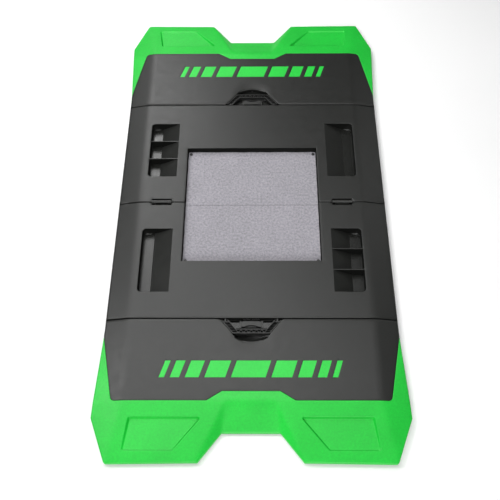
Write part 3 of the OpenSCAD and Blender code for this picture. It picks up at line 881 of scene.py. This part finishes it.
def felt_outline():
    """One sheet's outline, wavy but for the edge at the seam and the sides close to it."""
    x, y0 = FELT_W / 2, FELT_SEAM
    y1 = y0 + FELT_L
    path = rounded([(x, y0), (x, y1), (-x, y1), (-x, y0)], FELT_CORNERS)
    path = along(path, FELT_GRID, 0)
    out = path - np.array([0, (y0 + y1) / 2])
    outward = out / np.maximum(np.abs(out[:, 0]) / x, np.abs(out[:, 1]) / (FELT_L / 2))[:, None]
    side = np.abs(outward[:, 0]) > x - 1
    shift = np.clip(wander(path[:, 1] + path[:, 0] * WAVE_LEAN), *WAVE_LIMITS)
    seam = path[:, 1] < y0 + STRAIGHT_FROM_SEAM
    path[:, 0] += np.where(side & ~seam, np.sign(path[:, 0]) * shift, 0)
    path[:, 1] += np.where(~side & ~seam, shift, 0)
    return path


def felt_height(curled):
    """Height of a sheet's face; its side at positive or negative x is curled."""
    def height(xy):
        x, y = xy[:, 0], xy[:, 1]
        lumps = 0.16 * np.sin(x / 23 + 1.3) * np.sin(y / 17 + 0.4) + 0.1 * np.sin(x / 9.1 - y / 12.7)
        curl = np.clip((curled * x - CURL_START) / CURL_RUN, 0, 1)
        crease = -CREASE_DEPTH * np.exp(-((curled * x - CREASE_X) / CREASE_W) ** 2)
        away = np.hypot(np.abs(x) - STUD_AT[0], y - STUD_AT[1])
        dimple = -DIMPLE_DEPTH * np.exp(-(away / DIMPLE_R) ** 2)
        calm = 1 - np.exp(-(away / CALM_R) ** 2)
        flat = FELT_BACK + FELT_T - FACE_DROP
        return flat + lumps * calm + (CURL_RISE * curl * curl + crease) * calm + dimple
    return height


def felt_taper(xy):
    """The edge at the seam is cut sharper than the others."""
    return np.clip((xy[:, 1] - FELT_SEAM) / SEAM_TAPER, FELT_SEAM_R / FELT_EDGE_R, 1)


def stud_hole(side):
    turns = np.arange(STUD_HOLE_POINTS) * 2 * math.pi / STUD_HOLE_POINTS
    x, y = side * STUD_AT[0], STUD_AT[1]
    return np.c_[x + STUD_HOLE_R * np.cos(turns), y + STUD_HOLE_R * np.sin(turns)]


def felt_face(curled):
    outline = felt_outline()
    holes = [stud_hole(-1), stud_hole(1)]
    ring = np.vstack([outline, outline[:1]])
    edges = [Edge(ring, FELT_EDGE_R, felt_taper)]
    return Face(outline, holes, felt_height(curled), edges, FELT_GRID)


def felt_backs(face, places):
    """The back's places, one below each place of the face, drawn up towards it at the rim."""
    back = np.maximum(places[:, 2] - FELT_T + BACK_THINNER, FELT_BACK + BACK_CLEAR)
    rim = face.inset(places[:, :2]) < RIM_WIDTH
    back[rim] = np.minimum(back[rim] + RIM_RISE, places[rim, 2] - RIM_THICKNESS)
    return np.c_[places[:, :2], back]


def felt_mesh(face):
    """A cut sheet in the far half: a face, a back and the cut edges between them."""
    places, faces = face.triangles()
    bm = bmesh.new()
    top = [bm.verts.new(Vector(p) * MM) for p in places]
    back = [bm.verts.new(Vector(p) * MM) for p in felt_backs(face, places)]
    for a, b, c in faces:
        bm.faces.new([top[a], top[b], top[c]])
        bm.faces.new([back[c], back[b], back[a]])
    twin = dict(zip(top, back))
    for edge in [e for e in bm.edges if len(e.link_faces) == 1 and e.verts[0] in twin]:
        a, b = edge.verts
        bm.faces.new([a, b, twin[b], twin[a]])
    bmesh.ops.delete(bm, geom=[v for v in bm.verts if not v.link_faces], context="VERTS")
    bmesh.ops.recalc_face_normals(bm, faces=bm.faces)
    return bm


def felt_sheet(half, curled):
    piece = add_piece(f"{half}_felt", felt_mesh(felt_face(curled)), HALVES[half], "felt")
    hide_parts(f"{half}_felt_pad")
    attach(piece, f"{half}_middle")


felt_sheet("far", 1)
felt_sheet("near", -1)


# ---- studio ----

# the soft boxes above the mat: x, y and power in watts
SOFTBOXES = [
    (-1.6, 0.0, 16.1), (-0.8, 0.0, 6.1), (0.0, 0.0, 6.5), (0.8, 0.0, 3.3), (-0.8, 0.8, 4.7),
    (0.0, 0.8, 4.1), (-0.8, 1.6, 10.0), (1.6, 1.6, 3.2), (-0.8, 2.4, 13.2),
]
SOFTBOX_Z = 1.9
SOFTBOX_SIZE = 0.85
FILL_AT = (0.0, -2.8, 1.6)
FILL_SIZE = 1.6
FILL_POWER = 58
MAT_MIDDLE = (0, 0, 0)
WORLD_STRENGTH = 0.06
FLOOR_SIZE = 16
FLOOR_GLOW = 0.12

# the camera: millimetres, metres, and degrees turned, looking down and rolled
CAMERA_LENS = 51.44
CAMERA_SENSOR = 36.0
CAMERA_AT = (0.0172, -1.2001, 1.8027)
CAMERA_TURN = 1.212
CAMERA_DOWN = 59.644
CAMERA_ROLL = -1.102


def turned(degrees, axis):
    return Matrix.Rotation(math.radians(degrees), 4, axis)


def area_light(name, place, aim, size, power):
    data = bpy.data.lights.new(name, "AREA")
    data.shape = "DISK"
    data.size = size
    data.energy = power
    lamp = bpy.data.objects.new(name, data)
    lamp.location = place
    lamp.rotation_euler = (Vector(aim) - Vector(place)).to_track_quat("-Z", "Y").to_euler()
    lamp.visible_camera = False
    bpy.context.scene.collection.objects.link(lamp)


def pale_floor():
    bpy.ops.mesh.primitive_plane_add(size=FLOOR_SIZE, location=(0, 0, 0))
    floor = bpy.context.object
    floor.name = "floor"
    f = Finish("floor")
    tone = f.ramp(f.noise(0.8, 2.0), [(0.3, grey(0.86)), (0.7, grey(0.9))])
    f.set(Base_Color=tone, Roughness=0.8, Emission_Color=grey(1.0), Emission_Strength=FLOOR_GLOW)
    floor.data.materials.append(f.material)


def studio():
    """A pale floor under soft boxes, stronger on the left, and a fill behind the camera."""
    world = bpy.data.worlds.new("studio")
    world.use_nodes = True
    background = world.node_tree.nodes["Background"]
    background.inputs["Color"].default_value = grey(1.0)
    background.inputs["Strength"].default_value = WORLD_STRENGTH
    bpy.context.scene.world = world
    pale_floor()
    for i, (x, y, power) in enumerate(SOFTBOXES):
        area_light(f"softbox_{i}", (x, y, SOFTBOX_Z), MAT_MIDDLE, SOFTBOX_SIZE, power)
    area_light("fill", FILL_AT, MAT_MIDDLE, FILL_SIZE, FILL_POWER)


def camera():
    """The camera of a person standing at the near end of the mat."""
    data = bpy.data.cameras.new("camera")
    data.lens = CAMERA_LENS
    data.sensor_width = CAMERA_SENSOR
    data.sensor_fit = "HORIZONTAL"
    lens = bpy.data.objects.new("camera", data)
    place = Matrix.Translation(CAMERA_AT)
    aim = turned(CAMERA_TURN, "Z") @ turned(90 - CAMERA_DOWN, "X") @ turned(CAMERA_ROLL, "Z")
    lens.matrix_world = place @ aim
    bpy.context.scene.collection.objects.link(lens)
    bpy.context.scene.camera = lens


bpy.context.scene.view_settings.view_transform = "Standard"
studio()
camera()
